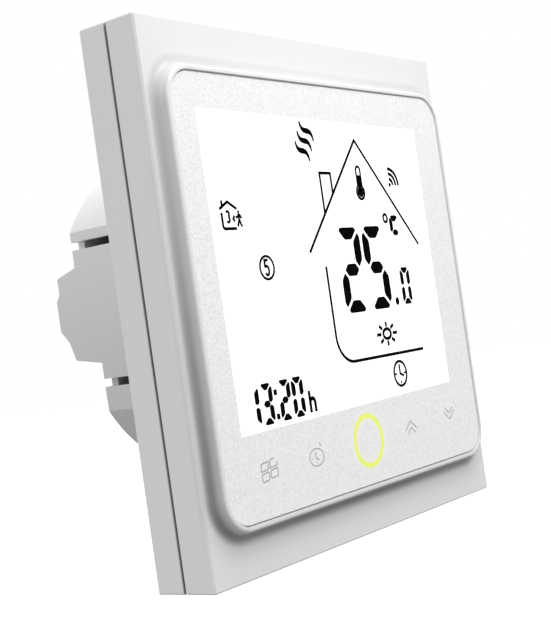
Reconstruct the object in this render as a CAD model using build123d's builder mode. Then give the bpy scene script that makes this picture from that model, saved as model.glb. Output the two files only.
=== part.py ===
"""Wall thermostat for an 86 mm square or 60 mm round wall box.

Frame: X to the right, Z up, Y into the wall. The origin is on the wall plane, midway between
the two wall screws. The room side is -Y, so a height h out from the wall is y = -h, and
the box that sits in the wall has negative heights. All sizes are millimetres.
"""

import os

from build123d import *

# ---------------------------------------------------------------- outer shells
plate = 86.0            # square outline of the base and of the front frame
wall = 2.0              # their side walls
base_front = 4.95       # front edge of the base, out from the wall
base_floor = 1.8        # floor of the base
seam = 0.36             # open groove between base and front frame
face = 11.0             # flat face of the front frame, out from the wall
face_wall = 1.8         # thickness behind that face
corner = 0.4            # upright corner edges
edge_break = 0.3        # chamfer round the front face
seam_break = 0.15       # chamfer on both lips of the groove
inner_corner = 1.0      # inside corners of both shells

lip_wall = 0.9          # lip of the base that the front frame slides over
lip_rise = 1.65         # lip past the front edge of the base
lip_clear = 0.15        # gap between lip and frame, each way

# ---------------------------------------------------------------- raised bezel and lens
lens_width = 78.8
lens_height = 68.8
lens_corner = 4.75
lens_rise = 1.85        # front surface of the lens, out from the flat face
lens_thick = 1.1
lens_gap = 0.22         # open line round the lens
tape_thick = 0.2        # adhesive frame behind the lens
tape_width = 1.8
ledge = 2.3             # ledge of the frame that carries the tape
rim = 0.8               # wall of the bezel beside the lens
rim_rise = 2.1          # rim of the bezel, out from the flat face
rim_round = 0.45
cove = 1.7              # hollow fillet from the flat face up to the bezel

# ---------------------------------------------------------------- display
window_left = 5.3       # border of the lens on each side of the lit window
window_right = 8.3
window_above = 6.15
window_below = 13.45
lcd_margin_x = 1.6      # glass beyond the window
lcd_margin_z = 0.8
lcd_thick = 1.8
lcd_gap = 0.1           # air between lens and display
light_inset = 1.4       # light guide inside the glass outline
light_air = 0.15
holder_wall = 0.6
holder_clear = 0.1
strip_width = 1.4       # elastomer strip that joins glass and board
strip_inset = 6.2       # its ends inside the glass outline

# ---------------------------------------------------------------- touch keys
key_rise = 7.2          # key row, up from the lower edge of the lens
key_inset = 10.8        # outer keys, in from the side edges of the lens
key_count = 5
key_pad_radius = 3.0
ring_outer = 4.6
ring_inner = 3.75
led_size = (1.5, 0.8)   # across and along the ring
led_height = 0.7

# ---------------------------------------------------------------- control board
board_rear = 5.4        # rear face of the control board, out from the wall
board_thick = 1.2
boss_x = 34.5           # four bosses of the front frame
boss_radius = 2.2
boss_beyond = 0.4       # boss to the lens opening
board_side = 3.7        # board past the boss centres
board_end = 2.3
screw_shank = 1.0       # radius of the small self-tapping screws
screw_head = 1.8
screw_head_height = 1.1
screw_clear = 0.05      # running clearance round every shank
screw_slot = (2.4, 0.5) # cross in the small screw heads
screw_slot_deep = 0.5
screw_end = 0.6         # bore of a boss past the tip
processor_size = (10.0, 1.4)        # square side and height
processor_place = (-31.0, 24.0)
radio_size = (16.0, 22.0, 0.8)      # width, height, thickness of the Wi-Fi board
radio_place = (0.0, 6.0)
shield_size = (13.6, 14.0, 2.0)
shield_place = (0.0, 3.4)
crystal_radius = 1.0
crystal_length = 6.0
crystal_place = (-33.0, 14.0)
sensor_radius = 1.1
sensor_length = 3.0
sensor_place = (28.0, 4.0)          # x, and up from the lower edge of the board
sensor_lead = 0.4
air_slots = 6                       # slots in the lower wall of the frame
air_slot = (1.9, 1.2)
air_pitch = 3.0
air_x = 22.0

# ---------------------------------------------------------------- snap tongues
tongue_x = 22.0
tongue_width = 8.0
tongue_thick = 1.4
tongue_end = 2.6        # free end of each tongue, out from the wall
bead_width = 6.0
bead_from = 3.2
bead_to = 4.0
bead_clear = 0.05       # bead to the wall of the base
recess_margin = 0.3     # recess round each bead
recess_depth = 0.5
pry_x = 25.0            # two notches in the lower edge
pry_size = (7.0, 1.6)
pry_deep = 1.0

# ---------------------------------------------------------------- plug between the two halves
plug_z = -18.0
plug_columns = 5
plug_rows = 2
plug_pitch = 2.54
plug_pin = 0.6
plug_hole = 0.8
plug_edge = 0.2         # plastic beyond the last pitch
plug_body = 2.2         # height of the pin strip
plug_reach = -5.0       # tips of the pins, out from the wall
socket_front = 1.0      # front face of the socket
socket_deep = -6.0      # bottom of the socket's holes
socket_clear = 0.3      # slot of the base round the socket

# ---------------------------------------------------------------- wall fixing
screw_spacing = 60.0
slot_length = 8.0
slot_radius = 2.2
steel_size = 76.0
steel_thick = 1.0
steel_corner = 3.0
steel_open_x = 31.0
steel_open_z = 44.0

# ---------------------------------------------------------------- power box in the wall
box_radius = 29.0       # round outline that enters a 60 mm box
box_width = 48.6        # between the two flat sides
box_wall = 1.5
depth_ridge = 32.45     # ridge over the terminal screws, in from the wall plane
back_step = 0.85        # back of the middle part, forward of the ridge
upper_step = 5.55       # back of the upper part
lower_step = 8.95       # back of the lower part
ridge_low = -1.0        # ridge, lower and upper edge
ridge_high = 4.25
ridge_run = 1.25        # slope from the ridge up to the middle back
middle_top = 8.3        # upper edge of the middle back
upper_shelf = 9.7       # lower edge of the upper back
ramp_1 = (2.2, 0.95)    # two ramps below the ridge: down and forward of the middle back
ramp_2 = (5.4, 2.0)
shoulder_drop = 6.4     # shoulder below the ridge's lower edge
vent_width = 1.4
vent_z = (13.4, -10.9)
vent_wrap = 1.75        # vent slot carried round onto the back wall
vent_from = 6.0
post_radius = 2.7       # four posts for the box screws
post_side = 1.1         # post to the flat side wall
post_edge = 3.3         # post centre in from the round outline
box_shank = 1.35
box_head = 2.6
box_head_height = 1.5
box_slot = (3.2, 0.7)
box_slot_deep = 1.0
box_screw_reach = 9.0   # length of shank inside a post

# ---------------------------------------------------------------- power board
power_front = -14.0     # front face of the power board, out from the wall
power_thick = 1.6
power_clear = 0.5       # board edge to box wall
stud_z = 23.2           # two bosses that carry the board
stud_radius = 2.2
stud_bore = 5.0
core_place = (7.5, 12.0)
core_width = 16.0
core_length = 6.0
core_height = 12.0
core_leg = 2.2
coil_length = 13.0
coil_flange = 1.2
varistor_place = (6.5, -6.0)
varistor_radius = 5.0
varistor_thick = 4.0
# round parts on the power board: name, radius, height, place, rounding of the top
power_cans = [
    ("mains_capacitor", 5.0, 12.5, (-8.5, 13.5), 0.8),
    ("output_capacitor", 3.15, 9.0, (-17.8, 8.0), 0.6),
    ("fuse", 4.2, 7.5, (15.5, -6.0), 0.6),
]
# square ones: name, width, height along Z, height off the board, places, bevel of the top
power_blocks = [
    ("relays", 20.0, 5.0, 12.5, [(-9.5, -3.0), (-9.5, -9.5)], 0.4),
    ("rectifier", 6.0, 5.0, 2.6, [(10.5, -13.5)], 0.3),
]

# ---------------------------------------------------------------- terminals
poles = 6
pole_pitch = 7.0
chamber = 4.8           # width of each chamber
block_side = 0.8        # end walls of the block
block_low = -5.0
block_high = 5.6
block_clear = 0.25      # block to box wall
wire_gap = 2.6          # free height over the fixed bar with the clamp open
clamp_thick = 0.7
frame_wall = 0.7
frame_width = 4.6
frame_length = 4.8      # along Z
frame_floor = 1.0
nut_thick = 1.3
nut_air = 0.1
clamp_clear = 0.1
grub_radius = 1.45
grub_length = 3.9
grub_sunk = 0.35        # open screw below the face of the ridge
grub_slot = 0.6
grub_slot_depth = 0.8
access_radius = 2.0     # hole in the box over each screw
entry_width = 4.0
entry_height = 3.4
entry_reach = 5.0       # wire holes, down from the block through the shoulder
tail_width = 1.0        # solder tail of each frame
tail_thick = 0.8
tail_clear = 0.1
tail_z = 2.6
tail_proud = 1.0        # tail past the front of the power board

# ---------------------------------------------------------------- derived places
frame_rear = base_front + seam
inner = plate - 2 * wall
lip_outer = inner + 2 * lip_wall
lip_front = base_front + lip_rise
lens_front = face + lens_rise
rim_front = face + rim_rise
lens_rear = lens_front - lens_thick
lens_seat = lens_rear - tape_thick
bezel_width = lens_width + 2 * (lens_gap + rim)
bezel_height = lens_height + 2 * (lens_gap + rim)
bezel_corner = lens_corner + lens_gap + rim
open_width = lens_width - 2 * ledge
open_height = lens_height - 2 * ledge
open_corner = lens_corner - 1.5
board_front = board_rear + board_thick
boss_z = open_height / 2 + boss_beyond + boss_radius
board_width = 2 * (boss_x + board_side)
board_height = 2 * (boss_z + board_end)
window_x = (window_left - window_right) / 2
window_z = (window_below - window_above) / 2
window_width = lens_width - window_left - window_right
window_height = lens_height - window_above - window_below
key_z = key_rise - lens_height / 2
key_pitch = (lens_width - 2 * key_inset) / (key_count - 1)
lcd_width = window_width + 2 * lcd_margin_x
lcd_height = window_height + 2 * lcd_margin_z
lcd_front = lens_rear - lcd_gap
lcd_rear = lcd_front - lcd_thick
strip_length = lcd_width - 2 * strip_inset
steel_front = base_floor + steel_thick
tongue_z = inner / 2 - lip_clear - tongue_thick / 2
plug_width = plug_columns * plug_pitch + 2 * plug_edge
plug_height = plug_rows * plug_pitch + 2 * plug_edge
power_rear = power_front - power_thick
depth_back = depth_ridge - back_step
depth_upper = depth_ridge - upper_step
depth_lower = depth_ridge - lower_step
post_x = box_width / 2 - box_wall - post_side - post_radius
post_z = ((box_radius - post_edge) ** 2 - post_x**2) ** 0.5
bar_depth = depth_ridge - grub_sunk - grub_length - clamp_thick - wire_gap
pole_x = [(k - (poles - 1) / 2) * pole_pitch for k in range(poles)]
ridge_z = (ridge_low + ridge_high) / 2
clamp_front = bar_depth + wire_gap
clamp_rear = clamp_front + clamp_thick
nut_depth = clamp_rear + nut_air
wire_depth = bar_depth + wire_gap / 2
block_width = (poles - 1) * pole_pitch + chamber + 2 * block_side
boss_places = [(boss_x, boss_z), (-boss_x, boss_z), (boss_x, -boss_z), (-boss_x, -boss_z)]
post_places = [(post_x, post_z), (-post_x, post_z), (post_x, -post_z), (-post_x, -post_z)]
tongue_places = [(tongue_x, 1), (-tongue_x, 1), (tongue_x, -1), (-tongue_x, -1)]
stud_places = [(0, stud_z), (0, -stud_z)]
key_x = [(k - (key_count - 1) / 2) * key_pitch for k in range(key_count)]


# ---------------------------------------------------------------- helpers
def out(h):
    """Plane parallel to the wall, h out from it: local x is X, local y is Z, extrude goes outwards."""
    return Plane.XZ.offset(h)


def slab(width, height, low, high, places=((0, 0),), radius=0, mode=Mode.ADD):
    """Flat block parallel to the wall, between two heights, at one or more (x, z) places."""
    with BuildSketch(out(low)) as outline:
        with Locations(*places):
            if radius:
                RectangleRounded(width, height, radius)
            else:
                Rectangle(width, height)
    extrude(outline.sketch, amount=high - low, mode=mode)


def drum(radius, low, high, places=((0, 0),), mode=Mode.ADD):
    """Round block square to the wall, between two heights, at one or more (x, z) places."""
    with BuildSketch(out(low)) as outline:
        with Locations(*places):
            Circle(radius)
    extrude(outline.sketch, amount=high - low, mode=mode)


def box_outline(inset, low, high, mode=Mode.ADD):
    """Round outline with two flat sides, the shape that enters the wall box."""
    with BuildSketch(out(low)) as outline:
        Circle(box_radius - inset)
        Rectangle(box_width - 2 * inset, 2 * box_radius, mode=Mode.INTERSECT)
    extrude(outline.sketch, amount=high - low, mode=mode)


def side_profile(inset, front=0.0):
    """Stepped side profile of the power box, drawn in Y and Z and drawn in by an inset."""
    over = box_radius + 2
    points = [
        (front, over),
        (depth_upper, over),
        (depth_upper, upper_shelf),
        (depth_back, middle_top),
        (depth_back, ridge_high + ridge_run),
        (depth_ridge, ridge_high),
        (depth_ridge, ridge_low),
        (depth_back - ramp_1[1], ridge_low - ramp_1[0]),
        (depth_back - ramp_2[1], ridge_low - ramp_2[0]),
        (depth_lower, ridge_low - shoulder_drop),
        (depth_lower, -over),
        (front, -over),
    ]
    with BuildSketch(Plane.YZ) as profile:
        Polygon(*points, align=None)
        if inset:
            offset(amount=-inset, kind=Kind.INTERSECTION)
    return profile.sketch


def finish(builder, name):
    """Label a finished piece and write it."""
    builder.part.label = name
    export_step(builder.part, f"parts/{name}.step")


def pins(size, low, high, places, name):
    """A group of square pins, one solid each."""
    with BuildPart() as group:
        slab(size, size, low, high, places)
    finish(group, name)


os.makedirs("parts", exist_ok=True)


# ---------------------------------------------------------------- front frame
with BuildPart() as front_frame:
    slab(plate, plate, frame_rear, face)
    fillet(front_frame.edges().filter_by(Axis.Y), radius=corner)
    chamfer(front_frame.faces().sort_by(Axis.Y)[0].edges(), length=edge_break)
    chamfer(front_frame.faces().sort_by(Axis.Y)[-1].edges(), length=seam_break)
    slab(bezel_width, bezel_height, face, rim_front, radius=bezel_corner)
    foot = front_frame.edges().filter_by_position(Axis.Y, -face - 0.01, -face + 0.01)
    fillet(
        foot.filter_by(lambda e: max(abs(e.center().X), abs(e.center().Z)) < bezel_width / 2 + 0.1),
        radius=cove,
    )
    fillet(front_frame.faces().sort_by(Axis.Y)[0].outer_wire().edges(), radius=rim_round)
    slab(inner, inner, frame_rear, face - face_wall, radius=inner_corner, mode=Mode.SUBTRACT)
    slab(
        lip_outer + 2 * lip_clear,
        lip_outer + 2 * lip_clear,
        frame_rear,
        lip_front + lip_clear,
        radius=inner_corner,
        mode=Mode.SUBTRACT,
    )
    slab(
        lens_width + 2 * lens_gap,
        lens_height + 2 * lens_gap,
        lens_seat,
        rim_front,
        radius=lens_corner + lens_gap,
        mode=Mode.SUBTRACT,
    )
    slab(open_width, open_height, face - face_wall, lens_seat, radius=open_corner, mode=Mode.SUBTRACT)
    drum(boss_radius, board_front, face - face_wall, boss_places)
    drum(screw_shank + screw_clear, board_front, face - screw_end, boss_places, mode=Mode.SUBTRACT)
    for x, side in tongue_places:
        slab(tongue_width, tongue_thick, tongue_end, face - face_wall, [(x, side * tongue_z)])
        bead_z = inner / 2 - bead_clear - 0.1
        slab(bead_width, 0.2, bead_from, bead_to, [(x, side * bead_z)])
    # air slots for the room sensor, in the lower wall
    with BuildSketch(Plane.XY.offset(-plate / 2)) as air:
        with Locations((air_x, -(lip_front + lip_clear + face - face_wall) / 2)):
            with GridLocations(air_pitch, 1, air_slots, 1):
                SlotOverall(*air_slot, rotation=90)
    extrude(air.sketch, amount=wall, mode=Mode.SUBTRACT)
finish(front_frame, "front_frame")

# ---------------------------------------------------------------- lens, its tape and the display
with BuildPart() as touch_lens:
    slab(lens_width, lens_height, lens_rear, lens_front, radius=lens_corner)
    chamfer(touch_lens.faces().sort_by(Axis.Y)[0].edges(), length=0.12)
finish(touch_lens, "touch_lens")

with BuildPart() as lens_tape:
    slab(lens_width, lens_height, lens_seat, lens_rear, radius=lens_corner)
    slab(
        lens_width - 2 * tape_width,
        lens_height - 2 * tape_width,
        lens_seat,
        lens_rear,
        radius=lens_corner - tape_width,
        mode=Mode.SUBTRACT,
    )
finish(lens_tape, "lens_tape")

window_place = [(window_x, window_z)]
with BuildPart() as display_glass:
    slab(lcd_width, lcd_height, lcd_rear, lcd_front, window_place)
finish(display_glass, "display_glass")

with BuildPart() as display_light:
    light_drop = strip_width + 2 * light_inset
    slab(
        lcd_width - 2 * light_inset,
        lcd_height - light_inset - light_drop,
        board_front + light_air,
        lcd_rear,
        [(window_x, window_z + (light_inset - light_drop) / 2)],
    )
    chamfer(display_light.edges().filter_by(Axis.Y), length=0.8)
finish(display_light, "display_light")

with BuildPart() as display_strip:
    strip_z = window_z + lcd_height / 2 - light_inset - strip_width / 2
    slab(strip_length, strip_width, board_front, lcd_rear, [(window_x, strip_z)])
finish(display_strip, "display_strip")

with BuildPart() as display_holder:
    holder = holder_wall + holder_clear
    slab(lcd_width + 2 * holder, lcd_height + 2 * holder, board_front, lcd_front - 0.1, window_place)
    slab(
        lcd_width + 2 * holder_clear,
        lcd_height + 2 * holder_clear,
        board_front,
        lcd_front,
        window_place,
        mode=Mode.SUBTRACT,
    )
finish(display_holder, "display_holder")

# ---------------------------------------------------------------- touch keys and the lit ring
for number, x in enumerate(key_x, start=1):
    with BuildPart() as key_pad:
        drum(key_pad_radius, board_front, lens_rear, [(x, key_z)])
        fillet(key_pad.edges().filter_by(GeomType.CIRCLE), radius=0.3)
    finish(key_pad, f"key_pad_{number}")

with BuildPart() as ring_light:
    drum(ring_outer, board_front + led_height + 0.1, lens_rear, [(0, key_z)])
    drum(ring_inner, board_front + led_height + 0.1, lens_rear, [(0, key_z)], mode=Mode.SUBTRACT)
finish(ring_light, "ring_light")

with BuildPart() as ring_leds:
    with BuildSketch(out(board_front)) as lamps:
        with Locations((0, key_z)):
            with PolarLocations((ring_outer + ring_inner) / 2, 4, start_angle=45):
                Rectangle(led_size[1], led_size[0])
    extrude(lamps.sketch, amount=led_height)
finish(ring_leds, "ring_leds")

# ---------------------------------------------------------------- control board and what it carries
with BuildPart() as control_board:
    slab(board_width, board_height, board_rear, board_front, radius=2.0)
    drum(screw_shank + 0.15, board_rear, board_front, boss_places, mode=Mode.SUBTRACT)
finish(control_board, "control_board")

with BuildPart() as board_screws:
    drum(screw_head, board_rear - screw_head_height, board_rear, boss_places)
    drum(screw_shank, board_rear, face - 2 * screw_end, boss_places)
    head_end = board_rear - screw_head_height
    for size in (screw_slot, screw_slot[::-1]):
        slab(*size, head_end, head_end + screw_slot_deep, boss_places, mode=Mode.SUBTRACT)
finish(board_screws, "board_screws")

with BuildPart() as processor:
    side, high = processor_size
    slab(side, side, board_rear - high, board_rear, [processor_place])
    chamfer(processor.faces().sort_by(Axis.Y)[0].edges(), length=0.2)
finish(processor, "processor")

with BuildPart() as radio_board:
    width, height, thick = radio_size
    slab(width, height, board_rear - thick, board_rear, [radio_place])
finish(radio_board, "radio_board")

with BuildPart() as radio_shield:
    width, height, thick = shield_size
    shield_base = board_rear - radio_size[2]
    slab(width, height, shield_base - thick, shield_base, [shield_place], radius=0.6)
finish(radio_shield, "radio_shield")

with BuildPart() as clock_crystal:
    with BuildSketch(Plane.YZ.offset(crystal_place[0])):
        with Locations((crystal_radius - board_rear, crystal_place[1])):
            Circle(crystal_radius)
    extrude(amount=crystal_length)
finish(clock_crystal, "clock_crystal")

with BuildPart() as room_sensor:
    x, rise = sensor_place
    z = rise - board_height / 2
    axis_out = board_rear - sensor_radius - 0.1
    with BuildSketch(Plane.XY.offset(z)):
        with Locations((x, -axis_out)):
            Circle(sensor_radius)
    extrude(amount=-sensor_length)
    fillet(room_sensor.edges().filter_by(GeomType.CIRCLE), radius=sensor_radius - 0.2)
    leads = [(x - 0.5, z - 1), (x + 0.5, z - 1)]
    slab(sensor_lead, sensor_lead, axis_out, board_rear, leads)
finish(room_sensor, "room_sensor")

# ---------------------------------------------------------------- plug between front and base
plug_places = [
    (
        (column - (plug_columns - 1) / 2) * plug_pitch,
        plug_z + (row - (plug_rows - 1) / 2) * plug_pitch,
    )
    for column in range(plug_columns)
    for row in range(plug_rows)
]

with BuildPart() as plug_strip:
    slab(plug_width, plug_height, board_rear - plug_body, board_rear, [(0, plug_z)])
    slab(plug_pin, plug_pin, board_rear - plug_body, board_rear, plug_places, mode=Mode.SUBTRACT)
finish(plug_strip, "plug_strip")
pins(plug_pin, plug_reach, board_rear, plug_places, "plug_pins")

with BuildPart() as plug_socket:
    slab(plug_width, plug_height, power_front, socket_front, [(0, plug_z)])
    slab(plug_hole, plug_hole, socket_deep, socket_front, plug_places, mode=Mode.SUBTRACT)
finish(plug_socket, "plug_socket")

# ---------------------------------------------------------------- base tray
with BuildPart() as base_plate:
    slab(plate, plate, 0, base_front)
    fillet(base_plate.edges().filter_by(Axis.Y), radius=corner)
    chamfer(base_plate.faces().sort_by(Axis.Y)[0].edges(), length=seam_break)
    slab(lip_outer, lip_outer, base_floor, lip_front, radius=inner_corner)
    slab(inner, inner, base_floor, lip_front, radius=inner_corner, mode=Mode.SUBTRACT)
    with BuildSketch(out(0)) as fixing:
        with Locations((-screw_spacing / 2, 0), (screw_spacing / 2, 0)):
            SlotOverall(slot_length, 2 * slot_radius)
    extrude(fixing.sketch, amount=base_floor, mode=Mode.SUBTRACT)
    slab(
        plug_width + 2 * socket_clear,
        plug_height + 2 * socket_clear,
        0,
        base_floor,
        [(0, plug_z)],
        mode=Mode.SUBTRACT,
    )
    drum(box_shank + 0.15, 0, base_floor, post_places, mode=Mode.SUBTRACT)
    for x, side in tongue_places:
        slab(
            bead_width + 2 * recess_margin,
            2 * recess_depth,
            bead_from - recess_margin,
            bead_to + recess_margin,
            [(x, side * inner / 2)],
            mode=Mode.SUBTRACT,
        )
    # two notches in the lower edge for a flat screwdriver
    notches = [(pry_x, -plate / 2), (-pry_x, -plate / 2)]
    slab(*pry_size, base_front - pry_deep, base_front, notches, mode=Mode.SUBTRACT)
finish(base_plate, "base_plate")

with BuildPart() as steel_plate:
    slab(steel_size, steel_size, base_floor, steel_front, radius=steel_corner)
    slab(steel_open_x, steel_open_z, base_floor, steel_front, radius=2.0, mode=Mode.SUBTRACT)
    with BuildSketch(out(base_floor)) as fixing:
        with Locations((-screw_spacing / 2, 0), (screw_spacing / 2, 0)):
            SlotOverall(slot_length, 2 * slot_radius)
    extrude(fixing.sketch, amount=steel_thick, mode=Mode.SUBTRACT)
    drum(box_shank + 0.15, base_floor, steel_front, post_places, mode=Mode.SUBTRACT)
finish(steel_plate, "steel_plate")

with BuildPart() as box_screws:
    head_end = steel_front + box_head_height
    drum(box_head, steel_front, head_end, post_places)
    fillet(box_screws.faces().sort_by(Axis.Y)[0:4].edges(), radius=0.6)
    drum(box_shank, -box_screw_reach, steel_front, post_places)
    for size in (box_slot, box_slot[::-1]):
        slab(*size, head_end - box_slot_deep, head_end, post_places, mode=Mode.SUBTRACT)
finish(box_screws, "box_screws")

# ---------------------------------------------------------------- power box
with BuildPart() as box_hollow:
    extrude(side_profile(box_wall, front=-4 * box_wall), amount=box_width / 2, both=True)
    box_outline(box_wall, -depth_ridge, 1, mode=Mode.INTERSECT)

with BuildPart() as power_box:
    extrude(side_profile(0), amount=box_width / 2, both=True)
    box_outline(0, -depth_ridge, 0, mode=Mode.INTERSECT)
    add(box_hollow.part, mode=Mode.SUBTRACT)
    for x, z in post_places:
        depth = depth_upper if z > 0 else depth_lower
        drum(post_radius, -(depth - box_wall / 2), 0, [(x, z)])
    for x, z in stud_places:
        depth = depth_upper if z > 0 else depth_lower
        drum(stud_radius, -(depth - box_wall / 2), power_rear, [(x, z)])
    drum(box_shank + screw_clear, -box_screw_reach - 1, 0, post_places, mode=Mode.SUBTRACT)
    drum(screw_shank + screw_clear, power_rear - stud_bore, power_rear, stud_places, mode=Mode.SUBTRACT)
    for side in (-1, 1):
        for z in vent_z:
            slab(
                2 * vent_wrap,
                vent_width,
                -depth_ridge,
                -vent_from,
                [(side * box_width / 2, z)],
                mode=Mode.SUBTRACT,
            )
    drum(
        access_radius,
        -depth_ridge,
        -depth_ridge + box_wall,
        [(x, ridge_z) for x in pole_x],
        mode=Mode.SUBTRACT,
    )
    slab(
        entry_width,
        entry_reach,
        -(wire_depth + entry_height / 2),
        -(wire_depth - entry_height / 2),
        [(x, block_low - entry_reach / 2) for x in pole_x],
        mode=Mode.SUBTRACT,
    )
finish(power_box, "power_box")

# ---------------------------------------------------------------- power board and what it carries
with BuildPart() as power_board:
    box_outline(box_wall + power_clear, power_rear, power_front)
    drum(post_radius + power_clear, power_rear, power_front, post_places, mode=Mode.SUBTRACT)
    drum(screw_shank + 0.15, power_rear, power_front, stud_places, mode=Mode.SUBTRACT)
    drum(tail_width * 0.75, power_rear, power_front, [(x, tail_z) for x in pole_x], mode=Mode.SUBTRACT)
finish(power_board, "power_board")

with BuildPart() as power_screws:
    drum(screw_head, power_front, power_front + screw_head_height, stud_places)
    drum(screw_shank, power_rear - stud_bore + 0.5, power_front, stud_places)
    head_end = power_front + screw_head_height
    for size in (screw_slot, screw_slot[::-1]):
        slab(*size, head_end - screw_slot_deep, head_end, stud_places, mode=Mode.SUBTRACT)
finish(power_screws, "power_screws")

with BuildPart() as transformer_core:
    slab(core_width, core_length, power_front, power_front + core_height, [core_place])
    with BuildSketch(Plane.XY.offset(core_place[1])) as core_window:
        with Locations((core_place[0], -(power_front + core_height / 2))):
            Rectangle(core_width - 2 * core_leg, core_height - 2 * core_leg)
    extrude(core_window.sketch, amount=core_length, both=True, mode=Mode.SUBTRACT)
finish(transformer_core, "transformer_core")

with BuildPart() as transformer_coil:
    slab(
        core_width - 2 * core_leg - 0.2,
        coil_length,
        power_front + core_leg + 0.1,
        power_front + core_height - core_leg - 0.1,
        [core_place],
    )
    chamfer(transformer_coil.edges().filter_by(Axis.Z), length=0.8)
    for side in (-1, 1):
        slab(
            core_width - 2 * core_leg - 0.2,
            coil_flange,
            power_front,
            power_front + core_height - core_leg - 0.1,
            [(core_place[0], core_place[1] + side * (coil_length - coil_flange) / 2)],
        )
finish(transformer_coil, "transformer_coil")

for name, radius, high, place, rounding in power_cans:
    with BuildPart() as can:
        drum(radius, power_front, power_front + high, [place])
        fillet(can.faces().sort_by(Axis.Y)[0].edges(), radius=rounding)
    finish(can, name)

for name, width, height, high, places, bevel in power_blocks:
    with BuildPart() as component:
        slab(width, height, power_front, power_front + high, places)
        chamfer(component.faces().sort_by(Axis.Y)[0 : len(places)].edges(), length=bevel)
    finish(component, name)

with BuildPart() as varistor:
    x, z = varistor_place
    with BuildSketch(Plane.YZ.offset(x - varistor_thick / 2)):
        with Locations((-power_front - varistor_radius - 0.8, z)):
            Circle(varistor_radius)
    extrude(amount=varistor_thick)
    fillet(varistor.edges().filter_by(GeomType.CIRCLE), radius=1.2)
    legs = [(x, z - varistor_radius / 2), (x, z + varistor_radius / 2)]
    slab(0.7, 0.7, power_front, power_front + varistor_radius / 2, legs)
finish(varistor, "varistor")

# ---------------------------------------------------------------- terminals
pole_places = [(x, ridge_z) for x in pole_x]

with BuildPart() as terminal_block:
    inset = box_wall + block_clear
    extrude(side_profile(inset, front=-4 * box_wall), amount=block_width / 2, both=True)
    slab(
        block_width,
        block_high - block_low,
        -depth_ridge,
        power_rear,
        [(0, (block_high + block_low) / 2)],
        mode=Mode.INTERSECT,
    )
    chamber_top = ridge_z + frame_length / 2 + 0.1
    chamber_length = 2 * (chamber_top - block_low)
    slab(
        chamber,
        chamber_length,
        -depth_ridge,
        -(bar_depth - frame_floor),
        [(x, chamber_top - chamber_length / 2) for x in pole_x],
        mode=Mode.SUBTRACT,
    )
    slab(
        tail_width + 2 * tail_clear,
        tail_thick + 2 * tail_clear,
        -bar_depth,
        power_rear,
        [(x, tail_z) for x in pole_x],
        mode=Mode.SUBTRACT,
    )
finish(terminal_block, "terminal_block")

with BuildPart() as terminal_frames:
    slab(frame_width, frame_length, -(nut_depth + nut_thick), -(bar_depth - frame_floor), pole_places)
    slab(
        frame_width - 2 * frame_wall,
        2 * frame_length,
        -nut_depth,
        -bar_depth,
        pole_places,
        mode=Mode.SUBTRACT,
    )
    drum(
        grub_radius + screw_clear,
        -(nut_depth + nut_thick),
        -nut_depth,
        pole_places,
        mode=Mode.SUBTRACT,
    )
    slab(
        tail_width,
        tail_thick,
        -(bar_depth - frame_floor),
        power_front + tail_proud,
        [(x, tail_z) for x in pole_x],
    )
finish(terminal_frames, "terminal_frames")

for number, x in enumerate(pole_x, start=1):
    with BuildPart() as clamp_plate:
        slab(
            frame_width - 2 * (frame_wall + clamp_clear),
            frame_length - 0.4,
            -clamp_rear,
            -clamp_front,
            [(x, ridge_z)],
        )
    finish(clamp_plate, f"clamp_plate_{number}")

    with BuildPart() as terminal_screw:
        drum(grub_radius, -(clamp_rear + grub_length), -clamp_rear, [(x, ridge_z)])
        chamfer(terminal_screw.faces().sort_by(Axis.Y)[-1].edges(), length=0.25)
        slab(
            3 * grub_radius,
            grub_slot,
            -(clamp_rear + grub_length),
            -(clamp_rear + grub_length - grub_slot_depth),
            [(x, ridge_z)],
            mode=Mode.SUBTRACT,
        )
    finish(terminal_screw, f"terminal_screw_{number}")
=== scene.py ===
import math

import bpy
import numpy as np
from mathutils import Matrix, Vector


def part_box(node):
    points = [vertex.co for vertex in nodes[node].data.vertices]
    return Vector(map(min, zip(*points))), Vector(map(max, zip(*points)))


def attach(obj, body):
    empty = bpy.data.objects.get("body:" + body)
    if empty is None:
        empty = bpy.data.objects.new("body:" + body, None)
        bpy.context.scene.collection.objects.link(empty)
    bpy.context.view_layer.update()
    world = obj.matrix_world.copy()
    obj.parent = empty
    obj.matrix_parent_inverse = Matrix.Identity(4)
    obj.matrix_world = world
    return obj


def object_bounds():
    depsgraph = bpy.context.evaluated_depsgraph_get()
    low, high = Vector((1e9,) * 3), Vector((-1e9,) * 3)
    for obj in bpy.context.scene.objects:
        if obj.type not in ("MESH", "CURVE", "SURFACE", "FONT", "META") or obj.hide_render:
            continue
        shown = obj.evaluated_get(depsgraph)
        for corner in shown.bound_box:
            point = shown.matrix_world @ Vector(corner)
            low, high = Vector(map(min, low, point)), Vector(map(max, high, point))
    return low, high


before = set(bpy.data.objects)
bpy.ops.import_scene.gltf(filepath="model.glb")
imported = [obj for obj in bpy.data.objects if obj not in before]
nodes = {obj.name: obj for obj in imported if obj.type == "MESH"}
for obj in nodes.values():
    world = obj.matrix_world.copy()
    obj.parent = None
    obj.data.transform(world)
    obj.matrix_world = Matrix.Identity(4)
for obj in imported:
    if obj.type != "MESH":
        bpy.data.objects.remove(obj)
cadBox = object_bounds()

mm = 0.001  # the display and the key signs are laid out in millimetres
scene = bpy.context.scene

print("stage: camera, floor and light")

viewPoint = {
    "place": (-0.183164, -0.133333, -0.006298),
    "azimuth": -53.3208,
    "elevation": -0.7374,
    "roll": -8.1688,
    "lens": 72.98,  # focal length on a 36 mm sensor
}


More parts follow.
